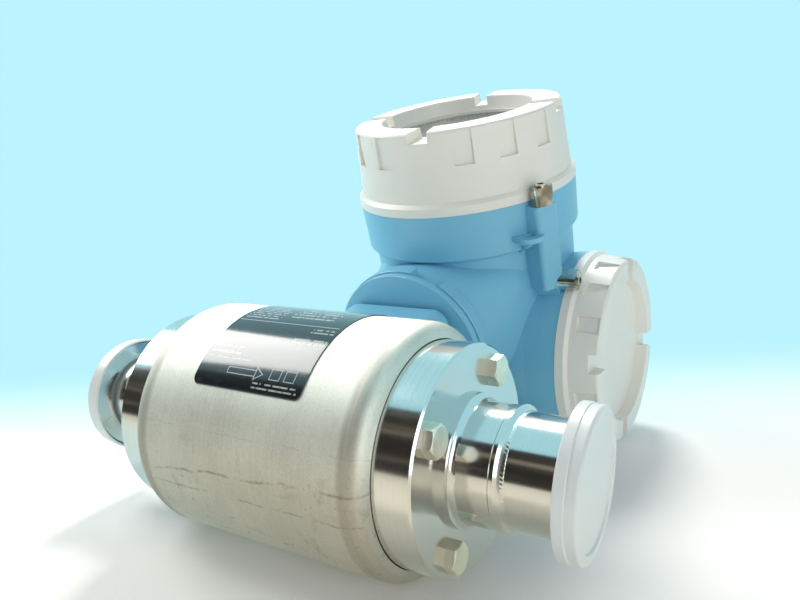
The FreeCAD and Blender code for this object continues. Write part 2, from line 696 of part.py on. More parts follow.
def transmitter_housing():
    """Cast two-compartment housing: display barrel, terminal barrel, foot."""
    body = front_barrel().fuse([side_barrel(), base_column()])
    body = body.fuse(clamp_bosses() + entry_bosses() + [tag_lug()])
    front_len = FRONT_FLOOR_Y - FRONT_JOINT_Y
    body = body.cut(turned([
        (-1, 0), (-1, FRONT_BORE_R), (THREAD_DEPTH, FRONT_BORE_R), (THREAD_DEPTH, FRONT_CAVITY_R),
        (front_len, FRONT_CAVITY_R), (front_len, 0)], front_axis_point(FRONT_JOINT_Y), Y_AXIS))
    ledge = SIDE_JOINT_X - SIDE_LEDGE_X
    body = body.cut(turned([
        (-1, 0), (-1, SIDE_BORE_R), (THREAD_DEPTH, SIDE_BORE_R), (THREAD_DEPTH, SIDE_CAVITY_R),
        (ledge, SIDE_CAVITY_R), (ledge, SIDE_LEDGE_R), (SIDE_JOINT_X - SIDE_FLOOR_X, SIDE_LEDGE_R),
        (SIDE_JOINT_X - SIDE_FLOOR_X, 0)], side_axis_point(SIDE_JOINT_X), X_AXIS * -1))
    body = body.cut(rod(NECK_BORE_R, Vec(0, 0, RING_Z), SIDE_Z - RING_Z, Z_AXIS))
    for x in ENTRY_XS:
        body = body.cut(rod(ENTRY_HOLE_R, Vec(x, ENTRY_Y, ENTRY_FACE_Z - 1), ENTRY_DEPTH + 1, Z_AXIS))
    for index in range(2):
        body = body.cut(clamp_block(index))
        body = body.cut(clamp_screw_shape(index))
    return body


def slots_and_pockets(cover, joint, out, top_r, recess_r, length, first, pocket_len):
    """Wrench slots across the rim and shallow grip pockets between them."""
    top = joint + out * length
    pitch = 360.0 / SLOT_COUNT
    for k in range(SLOT_COUNT):
        at = first + pitch * k
        cover = cover.cut(sector(
            recess_r - 3, top_r + 5, at, SLOT_HALF_ANGLE, top - out * SLOT_DEPTH, SLOT_DEPTH + 1, out))
        for j in range(POCKET_COUNT):
            cover = cover.cut(sector(
                top_r - POCKET_DEPTH, top_r + 8, at + POCKET_PITCH * (j + 1), POCKET_HALF_ANGLE,
                top - out * (POCKET_TOP + pocket_len), pocket_len, out))
    return cover


def display_cover():
    """White screw cover with a sunk window and a castellated rim."""
    fl = COVER_FLANGE_LEN
    inner = FRONT_COVER_ROOT_R - COVER_WALL
    top = FRONT_COVER_LEN
    ledge = top - FRONT_RECESS_LEN
    glass_back = ledge - WINDOW_T - 2
    outline = [
        (-SKIRT_LEN, inner - 1.5), (-SKIRT_LEN, FRONT_BORE_R - MOVING_GAP - 0.8),
        (-SKIRT_LEN + 0.8, FRONT_BORE_R - MOVING_GAP),
    ] + seal_groove(FRONT_BORE_R) + [
        (SEAT_GAP, FRONT_BORE_R - MOVING_GAP), (SEAT_GAP, FRONT_COVER_FLANGE_R),
        (fl - COVER_EDGE, FRONT_COVER_FLANGE_R), (fl, FRONT_COVER_FLANGE_R - COVER_EDGE),
        (fl + 0.8, FRONT_COVER_ROOT_R), (top - 2.4, FRONT_COVER_TOP_R),
        (top - 0.7, FRONT_COVER_TOP_R - 0.7, 1), (top, FRONT_COVER_TOP_R - 2.4),
        (top, FRONT_RECESS_R + 1.0), (top - 0.3, FRONT_RECESS_R + 0.3, 1), (top - 1.0, FRONT_RECESS_R),
        (ledge, FRONT_RECESS_R - 1.5), (ledge, WINDOW_OPENING_R), (ledge - 2, WINDOW_OPENING_R),
        (ledge - 2, WINDOW_R), (glass_back - RETAINER_T, WINDOW_R), (glass_back - RETAINER_T, inner - 1.5),
    ]
    cover = turned(outline, front_axis_point(FRONT_JOINT_Y), Y_AXIS * -1)
    return slots_and_pockets(
        cover, front_axis_point(FRONT_JOINT_Y), Y_AXIS * -1, FRONT_COVER_TOP_R, FRONT_RECESS_R,
        FRONT_COVER_LEN, FRONT_SLOT_AT, FRONT_POCKET_LEN)


def window_glass():
    front = FRONT_COVER_LEN - FRONT_RECESS_LEN - 2
    return turned(
        [(front - WINDOW_T, 0), (front - WINDOW_T, WINDOW_R), (front, WINDOW_R), (front, 0)],
        front_axis_point(FRONT_JOINT_Y), Y_AXIS * -1)


def window_retainer():
    """Ring that holds the glass against its ledge."""
    back = FRONT_COVER_LEN - FRONT_RECESS_LEN - 2 - WINDOW_T
    start = front_axis_point(FRONT_JOINT_Y) - Y_AXIS * (back - RETAINER_T)
    ring = tube(WINDOW_R, WINDOW_R - 4, start, RETAINER_T, Y_AXIS * -1)
    return ring.cut(Part.makeBox(4, 2, 2 * WINDOW_R, start + Vec(-2, -0.8, -WINDOW_R)))


def seal_groove(bore_r):
    """Corners of the O-ring groove in a cover's skirt."""
    skirt_r = bore_r - MOVING_GAP
    floor_r = skirt_r - GROOVE_DEPTH
    inner = -GROOVE_AT - GROOVE_HALF
    outer = -GROOVE_AT + GROOVE_HALF
    return [(inner, skirt_r), (inner, floor_r), (outer, floor_r), (outer, skirt_r)]


def cover_seal(joint_point, out, bore_r):
    """O-ring in the groove of the cover's skirt."""
    centre_r = bore_r - MOVING_GAP - GROOVE_DEPTH / 2
    centre = joint_point - out * GROOVE_AT
    circle = Part.makeCircle(SEAL_WIRE_R, Vec(0, 0, centre_r), Y_AXIS)
    ring = Part.Face(Part.Wire(circle)).revolve(Vec(0, 0, 0), X_AXIS, 360)
    ring.Placement = FreeCAD.Placement(centre, FreeCAD.Rotation(X_AXIS, out))
    return ring


def terminal_cover():
    """White blind screw cover with a sunk face and a castellated rim."""
    fl = COVER_FLANGE_LEN
    inner = SIDE_COVER_ROOT_R - COVER_WALL
    top = SIDE_COVER_LEN
    face = top - SIDE_RECESS_LEN
    outline = [
        (-SKIRT_LEN, inner - 2), (-SKIRT_LEN, SIDE_BORE_R - MOVING_GAP - 0.8),
        (-SKIRT_LEN + 0.8, SIDE_BORE_R - MOVING_GAP),
    ] + seal_groove(SIDE_BORE_R) + [
        (SEAT_GAP, SIDE_BORE_R - MOVING_GAP), (SEAT_GAP, SIDE_COVER_FLANGE_R),
        (fl - COVER_EDGE, SIDE_COVER_FLANGE_R), (fl, SIDE_COVER_FLANGE_R - COVER_EDGE),
        (fl + 0.8, SIDE_COVER_ROOT_R), (top - 2.4, SIDE_COVER_TOP_R),
        (top - 0.7, SIDE_COVER_TOP_R - 0.7, 1), (top, SIDE_COVER_TOP_R - 2.4),
        (top, SIDE_RECESS_R), (face, SIDE_RECESS_R - 1.2), (face, 0), (face - 4.5, 0),
        (face - 4.5, inner - 2),
    ]
    cover = turned(outline, side_axis_point(SIDE_JOINT_X), X_AXIS)
    return slots_and_pockets(
        cover, side_axis_point(SIDE_JOINT_X), X_AXIS, SIDE_COVER_TOP_R, SIDE_RECESS_R,
        SIDE_COVER_LEN, SIDE_SLOT_AT, SIDE_POCKET_LEN)


def clamp_frames():
    """Foot point, radial way and run of the two securing clamps."""
    front_out = front_radial(FRONT_CLAMP_AT)
    side_out = side_radial(SIDE_CLAMP_AT)
    front = front_axis_point(FRONT_JOINT_Y + CLAMP_SEAT)
    side = side_axis_point(SIDE_JOINT_X - CLAMP_SEAT)
    return [
        (front + front_out * (FRONT_COVER_FLANGE_R + MOVING_GAP + CLAMP_H / 2), front_out, Y_AXIS * -1),
        (side + side_out * (SIDE_COVER_FLANGE_R + MOVING_GAP + CLAMP_H / 2), side_out, X_AXIS),
    ]


def clamp_block(index):
    """Rounded block that a securing clamp is made from."""
    foot, out, along = clamp_frames()[index]
    across = out.cross(along)
    corner = foot - across * (CLAMP_W / 2) - out * (CLAMP_H / 2)
    points = [corner, corner + across * CLAMP_W, corner + across * CLAMP_W + out * CLAMP_H]
    points += [corner + out * CLAMP_H, corner]
    block = Part.Face(Part.makePolygon(points)).extrude(along * CLAMP_LEN)
    run = [e for e in block.Edges if abs(e.tangentAt(e.FirstParameter).dot(along)) > 0.9]
    return block.makeFillet(CLAMP_EDGE, run)


def securing_clamp(index):
    """Stainless claw beside the cover flange, drawn down by a socket screw."""
    return clamp_block(index).cut(clamp_screw_shape(index, 0.15))


def clamp_screw_shape(index, gap=0.0):
    foot, out, along = clamp_frames()[index]
    shank = rod(2.0 + gap, foot - along * 9, CLAMP_LEN + 9, along)
    head = rod(CLAMP_SCREW_R + gap, foot + along * (CLAMP_LEN - CLAMP_SCREW_HEAD), CLAMP_SCREW_HEAD + 1.2, along)
    return shank.fuse(head)


def clamp_screws():
    """Hexagon-socket screws of both clamps."""
    solids = []
    for i in range(2):
        foot, out, along = clamp_frames()[i]
        shape = clamp_screw_shape(i)
        socket = hexagon(CLAMP_SOCKET_AF, foot + along * (CLAMP_LEN - 1.8), 4.0, along)
        solids.append(shape.cut(socket))
    return group(solids)


# ============================================================ inner modules
def display_module():
    """Operating module behind the window: bezel with a raised screen."""
    start = front_axis_point(DISPLAY_FRONT_Y)
    body = rod(DISPLAY_R, start, DISPLAY_T, Y_AXIS)
    body = rounded(body, 1.2, lambda e: circle_at(e, DISPLAY_R, DISPLAY_FRONT_Y, Y_AXIS))
    return body.cut(screen_box())


def screen_box():
    return Part.makeBox(
        SCREEN_W, SCREEN_T, SCREEN_H,
        Vec(-SCREEN_W / 2, DISPLAY_FRONT_Y, FRONT_Z - SCREEN_H / 2 + 8))


def display_screen():
    return screen_box()


def electronics_module():
    """Potted electronics with cooling grooves round its side."""
    y0 = DISPLAY_FRONT_Y + DISPLAY_T
    length = FRONT_FLOOR_Y - y0
    body = rod(MODULE_R, front_axis_point(y0), length, Y_AXIS)
    grooves = 5
    pitch = length / (grooves + 1)
    for k in range(grooves):
        y = y0 + pitch * (k + 1) - 2
        body = body.cut(tube(MODULE_R + 1, MODULE_R - 2.5, front_axis_point(y), 4, Y_AXIS))
    return body


def terminal_board():
    board = rod(BOARD_R, side_axis_point(SIDE_LEDGE_X), BOARD_T, X_AXIS)
    return board.cut(rod(9.0, Vec(SIDE_LEDGE_X - 1, SIDE_Y, SIDE_Z - 34), BOARD_T + 2, X_AXIS))


def terminal_block():
    """Terminal strip with one wire funnel below every screw."""
    x0 = SIDE_LEDGE_X + BOARD_T
    block = Part.makeBox(BLOCK_T, BLOCK_W, BLOCK_D, Vec(x0, SIDE_Y - BLOCK_W / 2, SIDE_Z - BLOCK_D / 2 + 6))
    for k in range(TERMINAL_COUNT):
        y = terminal_y(k)
        block = block.cut(rod(TERMINAL_R + 0.3, Vec(x0 + BLOCK_T - 5, y, SIDE_Z + 13), 6, X_AXIS))
        funnel = Part.makeBox(6, 5.4, 6, Vec(x0 + BLOCK_T - 5, y - 2.7, SIDE_Z - 7))
        block = block.cut(funnel)
    return block


def terminal_y(k):
    pitch = BLOCK_W / TERMINAL_COUNT
    return SIDE_Y - BLOCK_W / 2 + pitch * (k + 0.5)


def terminal_screws():
    x0 = SIDE_LEDGE_X + BOARD_T + BLOCK_T - 5
    solids = []
    for k in range(TERMINAL_COUNT):
        screw = rod(TERMINAL_R, Vec(x0, terminal_y(k), SIDE_Z + 13), 3.4, X_AXIS)
        slot = Part.makeBox(1.2, 6, 0.8, Vec(x0 + 2.4, terminal_y(k) - 3, SIDE_Z + 12.6))
        solids.append(screw.cut(slot))
    return group(solids)


def entry_plugs():
    """Blanking plugs in the two outer cable entries."""
    solids = []
    for x in (ENTRY_XS[0], ENTRY_XS[2]):
        start = Vec(x, ENTRY_Y, ENTRY_FACE_Z)
        thread = rod(ENTRY_HOLE_R, start, ENTRY_THREAD_LEN, Z_AXIS)
        head = bolt_head(PLUG_HEAD_AF, start, PLUG_HEAD_T, Z_AXIS * -1)
        solids.append(thread.fuse(head))
    return group(solids)


def cable_gland():
    """Gland in the middle entry: threaded body, hexagon, domed nut."""
    start = Vec(ENTRY_XS[1], ENTRY_Y, ENTRY_FACE_Z)
    down = Z_AXIS * -1
    thread = rod(ENTRY_HOLE_R, start, ENTRY_THREAD_LEN, Z_AXIS)
    body = hexagon(GLAND_BODY_AF, start, GLAND_BODY_T, down)
    nut_outline = [
        (0, 0), (0, GLAND_NUT_R), (GLAND_NUT_T - 4, GLAND_NUT_R),
        (GLAND_NUT_T - 1.2, GLAND_NUT_R - 1.4, 1), (GLAND_NUT_T, GLAND_NUT_R - 4), (GLAND_NUT_T, 0),
    ]
    nut = turned(nut_outline, start + down * GLAND_BODY_T, down)
    whole = thread.fuse([body, nut])
    length = ENTRY_THREAD_LEN + GLAND_BODY_T + GLAND_NUT_T + 2
    return whole.cut(rod(GLAND_CABLE_R, start + down * (GLAND_BODY_T + GLAND_NUT_T + 1), length, Z_AXIS))


# ================================================================ lay down
def rest_tilt():
    """Angle by which the neck rises when drum and end rim touch the floor."""
    span = math.hypot(SIDE_Y, SIDE_Z)
    return math.atan2(SIDE_Y, SIDE_Z) + math.asin((SIDE_COVER_FLANGE_R - DRUM_R) / span)


def lay_down(shape):
    """Upright frame to resting frame: floor at zero height, and the origin
    midway between the drum and the far side of the terminal barrel."""
    tilt = rest_tilt()
    barrel_y = SIDE_Y * math.sin(tilt) + SIDE_Z * math.cos(tilt)
    middle_y = (barrel_y + SIDE_COVER_FLANGE_R - DRUM_R) / 2
    placed = shape.copy()
    placed.rotate(Vec(0, 0, 0), X_AXIS, math.degrees(tilt) - 90)
    placed.translate(Vec(0, -middle_y, DRUM_R))
    return placed


def save(name, shape):
    if not shape.isValid():
        raise ValueError(name + " is not a valid shape")
    lay_down(shape).exportStep("parts/" + name + ".step")


def front_seal():
    return cover_seal(front_axis_point(FRONT_JOINT_Y), Y_AXIS * -1, FRONT_BORE_R)


def side_seal():
    return cover_seal(side_axis_point(SIDE_JOINT_X), X_AXIS, SIDE_BORE_R)


def main():
    os.makedirs("parts", exist_ok=True)
    save("drum_shell", drum_shell())
    save("measuring_tube", measuring_tube())
    save("tube_liner", tube_liner())
    paired = {
        "end_ring": end_ring, "face_seal": face_seal, "connection": process_connection,
        "ferrule": clamp_ferrule, "bolts": connection_bolts, "cap": pipe_cap,
    }
    for name, build in paired.items():
        piece = build()
        save("outlet_" + name, outlet_cap() if build is pipe_cap else piece)
        save("inlet_" + name, mirrored(piece))
    save("upper_coil", magnet_coil(1))
    save("lower_coil", magnet_coil(-1))
    save("pole_cores", pole_cores())
    save("return_yoke", return_yoke())
    save("electrodes", electrodes())
    save("nameplate", nameplate())
    save("sensor_neck", sensor_neck().cut(earth_hole()))
    save("earth_screw", earth_screw())
    save("swivel_ring", swivel_ring())
    save("transmitter_housing", transmitter_housing())
    save("display_cover", display_cover())
    save("window_glass", window_glass())
    save("window_retainer", window_retainer())
    save("display_cover_seal", front_seal())
    save("terminal_cover", terminal_cover())
    save("terminal_cover_seal", side_seal())
    save("display_clamp", securing_clamp(0))
    save("terminal_clamp", securing_clamp(1))
    save("clamp_screws", clamp_screws())
    save("display_module", display_module())
    save("display_screen", display_screen())
    save("electronics_module", electronics_module())
    save("terminal_board", terminal_board())
    save("terminal_block", terminal_block())
    save("terminal_screws", terminal_screws())
    save("entry_plugs", entry_plugs())
    save("cable_gland", cable_gland())


main()
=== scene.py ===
"""Looks of a hygienic electromagnetic flow meter, laid on its drum.

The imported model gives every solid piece.  This file adds the finishes, the
print of the rating plate, the weld beads and the studio round the meter.
"""
import bpy
import json
import math

import numpy as np
from mathutils import Euler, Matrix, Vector


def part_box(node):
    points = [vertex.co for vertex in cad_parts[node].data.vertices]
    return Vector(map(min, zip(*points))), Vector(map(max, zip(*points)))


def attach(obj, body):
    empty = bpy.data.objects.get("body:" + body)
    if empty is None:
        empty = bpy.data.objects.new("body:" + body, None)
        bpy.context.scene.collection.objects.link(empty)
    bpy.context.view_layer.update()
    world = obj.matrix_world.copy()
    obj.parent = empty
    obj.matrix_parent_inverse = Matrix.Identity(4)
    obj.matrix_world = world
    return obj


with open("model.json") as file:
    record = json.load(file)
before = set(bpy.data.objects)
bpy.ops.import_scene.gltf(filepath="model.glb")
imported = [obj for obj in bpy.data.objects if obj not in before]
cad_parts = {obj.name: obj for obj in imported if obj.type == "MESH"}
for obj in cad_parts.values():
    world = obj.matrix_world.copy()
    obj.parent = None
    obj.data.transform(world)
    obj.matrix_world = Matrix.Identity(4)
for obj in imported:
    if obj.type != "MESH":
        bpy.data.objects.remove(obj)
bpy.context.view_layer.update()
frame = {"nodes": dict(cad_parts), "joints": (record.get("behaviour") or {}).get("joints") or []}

bl_info = {
    "name": "Flow meter dresser",
    "version": (1, 0, 0),
    "blender": (4, 5, 0),
    "location": "View3D > Sidebar > Flow meter",
    "description": "Finishes, print and studio for a hygienic flow meter",
    "category": "Object",
}


# ------------------------------------------------------------ the meter's frame
def middle(node):
    """Centre of a node's box."""
    low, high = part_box(node)
    return (Vector(low) + Vector(high)) / 2


PIPE = middle("drum_shell")
JOINTS = {joint["name"]: joint for joint in frame["joints"]}
NECK_UP = Vector(JOINTS["transmitter_swivel"]["axis"])
UPRIGHT = math.atan2(NECK_UP.z, NECK_UP.y) - math.pi / 2
PIPE_RADIUS = 0.0254
PLATE_RADIUS_MM = 60.5
TINT_X = 0.0615             # rings of heat tint beside the rolled ends of the drum
LIP_X = 0.0668
WELD_HEIGHT = 0.0003
WELD_RIPPLES = 90
MM = 1000.0                 # millimetres in a metre
LAMP_COLOUR = (1.0, 0.97, 0.92)
ROOM_COLOUR = (0.82, 0.94, 1.0)

# Lamp: setting that holds its power, place, point it aims at, side of its square.
LAMPS = {
    "key soft box": ("key_power", (-0.92, -0.12, 0.88), (0, 0, 0.05), 0.62),
    "rim soft box": ("rim_power", (-0.30, 0.72, 1.15), (0, -0.05, 0.0), 0.36),
    "fill soft box": ("fill_power", (1.15, -0.75, 0.42), (0, 0.05, 0.08), 0.9),
}
PLATE_ENAMEL = (0.010, 0.013, 0.016)
PLATE_DUST = (0.05, 0.055, 0.06)
PLATE_INK = (0.55, 0.57, 0.56)

# Scratch on the drum: angle at the middle, slope along the pipe, width, depth.
SCRATCHES = ((-1.62, 1.3, 0.018, 1.0), (-1.80, 0.4, 0.014, 0.8), (-1.30, 0.3, 0.008, 0.4))
# Block of dashes: its box on the plate (u low, u high, v low, v high) and its row pitch.
PLATE_TEXT = (
    ((-30.0, -9.0, 0.0, 18.0), 2.5), ((-5.0, 22.0, 3.5, 18.0), 3.6),
    ((18.0, 31.0, -8.6, -4.0), 2.3), ((12.0, 31.0, -16.5, -12.0), 2.3),
    ((-30.0, -12.0, -27.5, -20.0), 3.6), ((4.0, 30.0, -42.6, -38.4), 2.1),
    ((-30.0, 30.0, 22.5, 41.0), 3.1),
)
# Rule on the plate: its ends along u and its height v.
PLATE_RULES = ((-31.0, 31.0, -2.2), (-31.0, -3.0, -29.0), (-31.0, 31.0, 20.0))
# Plain box on the plate: u low, u high, v low, v high.
PLATE_BOXES = ((12.0, 18.0, -37.0, -31.5), (20.5, 26.5, -37.0, -31.5))


# ---------------------------------------------------------------- shader sums
class Tone:
    """One shader socket that can stand in a Python sum or product."""

    def __init__(self, finish, socket):
        self.finish = finish
        self.socket = socket

    def maths(self, operation, *values):
        inputs = {index: value for index, value in enumerate(values)}
        return self.finish.node("ShaderNodeMath", {"operation": operation}, inputs)["Value"]

    def __add__(self, other):
        return self.maths("ADD", self, other)

    __radd__ = __add__

    def __sub__(self, other):
        return self.maths("SUBTRACT", self, other)

    def __rsub__(self, other):
        return self.maths("SUBTRACT", other, self)

    def __mul__(self, other):
        return self.maths("MULTIPLY", self, other)

    __rmul__ = __mul__

    def __truediv__(self, other):
        return self.maths("DIVIDE", self, other)

    def __neg__(self):
        return self.maths("MULTIPLY", self, -1.0)

    def __abs__(self):
        return self.maths("ABSOLUTE", self)

    def at_least(self, other):
        return self.maths("MAXIMUM", self, other)

    def at_most(self, other):
        return self.maths("MINIMUM", self, other)

    def clamped(self):
        return self.at_least(0.0).at_most(1.0)

    def root(self):
        return self.maths("SQRT", self)

    def whole(self):
        return self.maths("FLOOR", self)

    def rest(self):
        return self.maths("FRACT", self)

    def angle_to(self, other):
        return self.maths("ARCTAN2", self, other)

    def step(self, start, end):
        """Rises smoothly from 0 at start to 1 at end; start may be the larger."""
        inputs = {"Value": self, "From Min": start, "From Max": end}
        settings = {"interpolation_type": "SMOOTHSTEP"}
        return self.finish.node("ShaderNodeMapRange", settings, inputs)["Result"]

    def band(self, centre, half, soft):
        """1 within half of centre, falling to 0 over soft."""
        return abs(self - centre).step(half + soft, half)

    def between(self, low, high, soft):
        """1 from low to high, falling to 0 over soft."""
        return self.band((low + high) / 2, (high - low) / 2, soft)


class Outputs:
    """Outputs of one node, read by name or by number."""

    def __init__(self, finish, node):
        self.finish = finish
        self.node = node

    def __getitem__(self, key):
        return Tone(self.finish, self.node.outputs[key])


class Finish:
    """A material written as Python: sockets in, one Principled surface out."""

    def __init__(self, name, tree_owner=None):
        self.owner = tree_owner or bpy.data.materials.new(name)
        self.owner.use_nodes = True
        self.tree = self.owner.node_tree
        self.tree.nodes.clear()
        self._place = None

    def node(self, kind, settings=None, inputs=None):
        made = self.tree.nodes.new(kind)
        for key, value in (settings or {}).items():
            setattr(made, key, value)
        for key, value in (inputs or {}).items():
            socket = made.inputs[key]
            if isinstance(value, Tone):
                self.tree.links.new(value.socket, socket)
            else:
                socket.default_value = value
        return Outputs(self, made)

    def place(self):
        """Object coordinates, in metres, in the meter's frame."""
        if self._place is None:
            self._place = self.node("ShaderNodeTexCoord")["Object"]
        return self._place

    def local(self, origin, lean=0.0):
        """Coordinates about origin, turned back by lean about X."""
        moved = self.node("ShaderNodeMapping", {"vector_type": "TEXTURE"}, {
            "Vector": self.place(), "Location": tuple(origin), "Rotation": (lean, 0.0, 0.0)})
        return moved["Vector"]

    def parts(self, vector):
        """The three coordinates of a vector, as tones."""
        split = self.node("ShaderNodeSeparateXYZ", None, {"Vector": vector})
        return split["X"], split["Y"], split["Z"]

    def join(self, x, y, z):
        """Vector made of three tones or numbers."""
        return self.node("ShaderNodeCombineXYZ", None, {"X": x, "Y": y, "Z": z})["Vector"]

    def noise(self, vector, scale, detail=2.0, roughness=0.5):
        """Noise with scale cells in a metre, or one scale for each axis."""
        if isinstance(scale, tuple):
            vector, scale = self.stretched(vector, scale), 1.0
        inputs = {"Vector": vector, "Scale": scale, "Detail": detail, "Roughness": roughness}
        return self.node("ShaderNodeTexNoise", None, inputs)["Fac"]

    def stretched(self, vector, scales):
        """Coordinates multiplied axis by axis."""
        return self.node("ShaderNodeVectorMath", {"operation": "MULTIPLY"},
                         {0: vector, 1: scales})["Vector"]

    def mix(self, factor, first, second):
        """Colour between first and second."""
        inputs = {"Factor": factor, 6: first, 7: second}
        return self.node("ShaderNodeMix", {"data_type": "RGBA"}, inputs)[2]

    def seen(self, paths):
        """1 for the rays that reach the eye straight, by a mirror or by glass."""
        rays = paths["Is Camera Ray"] + paths["Is Glossy Ray"] + paths["Is Transmission Ray"]
        return rays.clamped()

    def bump(self, height, strength, distance):
        inputs = {"Height": height, "Strength": strength, "Distance": distance}
        return self.node("ShaderNodeBump", None, inputs)["Normal"]

    def surface(self, inputs):
        """Ends the material in a Principled shader with these inputs."""
        shader = self.node("ShaderNodeBsdfPrincipled", None, inputs)["BSDF"]
        self.close(shader)
        return self.owner

    def blend(self, factor, first, second):
        """Ends the material in a share of the second shader over the first."""
        inputs = {0: factor, 1: first, 2: second}
        self.close(self.node("ShaderNodeMixShader", None, inputs)["Shader"])

    def close(self, shader):
        in_world = isinstance(self.owner, bpy.types.World)
        kind = "ShaderNodeOutputWorld" if in_world else "ShaderNodeOutputMaterial"
        self.node(kind, None, {"Surface": shader})


def rgba(colour):
    """Opaque colour of a shader socket."""
    return (colour[0], colour[1], colour[2], 1.0)


def dress(material, *nodes):
    """Gives CAD nodes this material."""
    for name in nodes:
        mesh = frame["nodes"][name].data
        if mesh.materials:
            for index in range(len(mesh.materials)):
                mesh.materials[index] = material
        else:
            mesh.materials.append(material)


# ------------------------------------------------------------------ surfaces
def sheet_mesh(name, points, closed=False):
    """Mesh over a grid of points, rows along the first parameter; closed
    joins the last row to the first."""
    rows, columns = points.shape[:2]
    corner = np.arange(rows * columns).reshape(rows, columns)
    if closed:
        corner = np.vstack([corner, corner[:1]])
    quads = np.stack([corner[:-1, :-1], corner[1:, :-1], corner[1:, 1:], corner[:-1, 1:]], axis=-1)
    mesh = bpy.data.meshes.new(name)
    mesh.from_pydata(points.reshape(-1, 3).tolist(), [], quads.reshape(-1, 4).tolist())
    mesh.polygons.foreach_set("use_smooth", np.ones(len(mesh.polygons), bool))
    mesh.update()
    return mesh


def add_piece(name, mesh, material, body):
    """Object at the origin that rides on a body."""
    piece = bpy.data.objects.new(name, mesh)
    bpy.context.scene.collection.objects.link(piece)
    mesh.materials.append(material)
    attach(piece, body)


def weld_bead(x, radius, width, height, ripples):
    """Ring about the pipe.  At angle a the section is a half ellipse of the
    given width, and its height is scaled by 1 + 0.22 sin(ripples a + 2.2 cos s)
    at angle s of the half ellipse."""
    around = np.linspace(0, 2 * math.pi, 8 * ripples, endpoint=False)
    across = np.linspace(0, math.pi, 7)
    a, s = np.meshgrid(around, across, indexing="ij")
    swell = 1 + 0.22 * np.sin(ripples * a + 2.2 * np.cos(s))
    r = radius + height * swell * np.sin(s)
    along = x + width / 2 * np.cos(s)
    points = np.stack([along, PIPE.y - r * np.cos(a), PIPE.z + r * np.sin(a)], axis=-1)
    return sheet_mesh("weld_bead", points, closed=True)


# ------------------------------------------------------------------- finishes
def ring_grain(finish, local, fine, coarse):
    """Grain that runs round the pipe: long in the circle, short along it."""
    fast = finish.noise(local, (fine, 9.0, 9.0), detail=3.0, roughness=0.6)
    slow = finish.noise(local, (coarse, 3.0, 3.0))
    return fast, slow


def wandering(finish, along, turn, start, slope, width):
    """Thin scratch: the angle turn follows start + slope * along + wander,
    and the line breaks off where a second noise is low."""
    path = finish.join(along * 26.0, start * 40.0, 0.0)
    gaps = finish.join(along * 90.0, start * 9.0, 3.0)
    wander = (finish.noise(path, scale=1.0, detail=4.0, roughness=0.7) - 0.5) * 0.16
    track = abs(turn - start - along * slope - wander)
    broken = finish.noise(gaps, scale=1.0, detail=4.0, roughness=0.7).step(0.38, 0.66)
    return track.step(width, 0.0) * broken


def blasted_steel(steel):
    """Satin drum: faint rings, soft clouds, tanned ends, rubs and scratches, and painted shade on the
    underside.
    """
    finish = Finish("drum satin steel")
    local = finish.local(PIPE)
    x, y, z = finish.parts(local)
    turn = y.angle_to(z)
    fine, slow = ring_grain(finish, local, fine=2400.0, coarse=90.0)
    cloud = finish.noise(local, 26.0, detail=5.0, roughness=0.6)
    speck = finish.noise(local, 900.0, detail=3.0, roughness=0.6)

    # low is 1 on the underside. The sum below darkens the underside as painted shade (low * 0.30), holds
    # the real rubs, smears, dirt and scratches, and weights the rubs and dirt towards the underside.
    low = turn.step(-1.25, -1.75)
    rub = finish.noise(local, (55.0, 30.0, 30.0), detail=5.0, roughness=0.7).step(0.56, 0.72)
    smear = finish.noise(local, (26.0, 70.0, 70.0), detail=4.0, roughness=0.6).step(0.60, 0.74)
    dirt = finish.noise(local, 210.0, detail=4.0, roughness=0.75).step(0.60, 0.70)
    scratch = sum(wandering(finish, x, turn, start, slope, width) * depth
                  for start, slope, width, depth in SCRATCHES).clamped()
    wear_and_painted_shade = (rub * (0.14 + low * 0.26) + smear * 0.14 + low * 0.30
            + dirt * (0.25 + low * 0.75) * 0.45 + scratch * 0.55)

    # Heat tint in two rings at each end, where the shell is rolled in.
    edge = (abs(x).band(TINT_X, 0.0016, 0.0035) + abs(x).band(LIP_X, 0.001, 0.002) * 0.6).clamped()
    patches = finish.noise(local, (120.0, 26.0, 26.0), detail=4.0, roughness=0.65)

    grain = (fine * 0.22 + cloud * 0.48 + speck * 0.30).step(0.36, 0.64)
    steel_colour = finish.mix(grain, rgba(steel.satin_low), rgba(steel.satin_high))
    tanned = finish.mix((edge * patches * 0.85).clamped(), steel_colour, rgba(steel.tan))
    marked = finish.mix(wear_and_painted_shade.clamped(), tanned, rgba(steel.smudge))
    roll = abs(x).step(0.060, 0.068)
    rough = 0.62 + (fine - 0.5) * 0.06 + (slow - 0.5) * 0.08 + rub * 0.05 - roll * 0.06
    return finish.surface({
        "Base Color": marked, "Metallic": 0.85, "Roughness": rough,
        "Normal": finish.bump(fine * 0.4 + speck * 0.6 - scratch * 0.8, 0.22, 0.00005)})


def turned_steel(steel):
    """Polished lathe work: faint rings on the walls, circles on the faces."""
    finish = Finish("turned bright steel")
    local = finish.local(PIPE)
    x, y, z = finish.parts(local)
    radius = (y * y + z * z).root()
    rings = finish.noise(finish.join(x, radius, 0.0), 3000.0, roughness=0.6)
    cloud = finish.noise(local, 35.0, detail=3.0)
    colour = finish.mix(rings * 0.6 + cloud * 0.4, rgba(steel.bright_low), rgba(steel.bright_high))
    return finish.surface({
        "Base Color": colour, "Metallic": 1.0, "Roughness": 0.09 + rings * 0.05 + cloud * 0.05,
        "Normal": finish.bump(rings, 0.10, 0.00002)})


